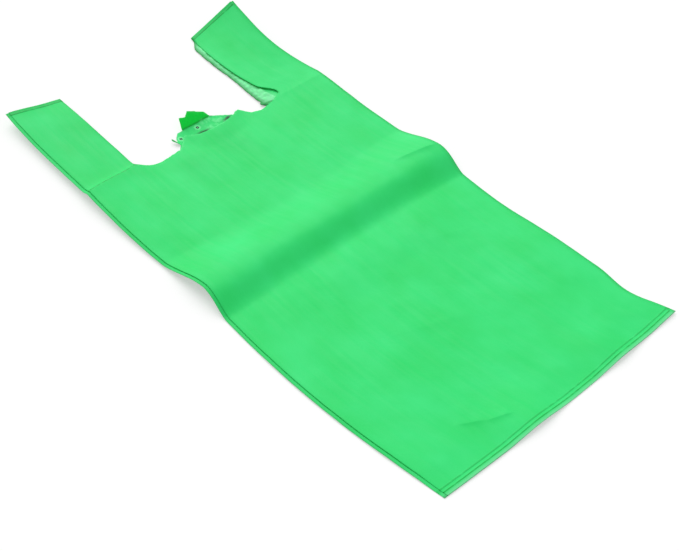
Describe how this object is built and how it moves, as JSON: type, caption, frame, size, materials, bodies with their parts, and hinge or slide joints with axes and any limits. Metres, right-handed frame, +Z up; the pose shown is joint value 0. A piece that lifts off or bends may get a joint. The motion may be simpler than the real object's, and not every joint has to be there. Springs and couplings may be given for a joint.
{
  "type": "plastic carrier bag",
  "caption": "Vest-style carrier bag of thin green film lying flat, side gussets folded in, loop handles beside a scooped mouth with a torn tab.",
  "frame": {"origin": "middle of the bag's footprint, in the plane that its underside rests on", "axes": "+X from the left side fold to the right side fold, +Y from the bottom weld to the handles, +Z up through the plies to the front of the bag"},
  "size_m": [0.3226, 0.6064, 0.0271],
  "materials": {
    "film": "thin translucent polyethylene film in bright green, with a soft satin sheen"
  },
  "bodies": {
    "root": {"carrier_bag": "film"}
  },
  "joints": []
}
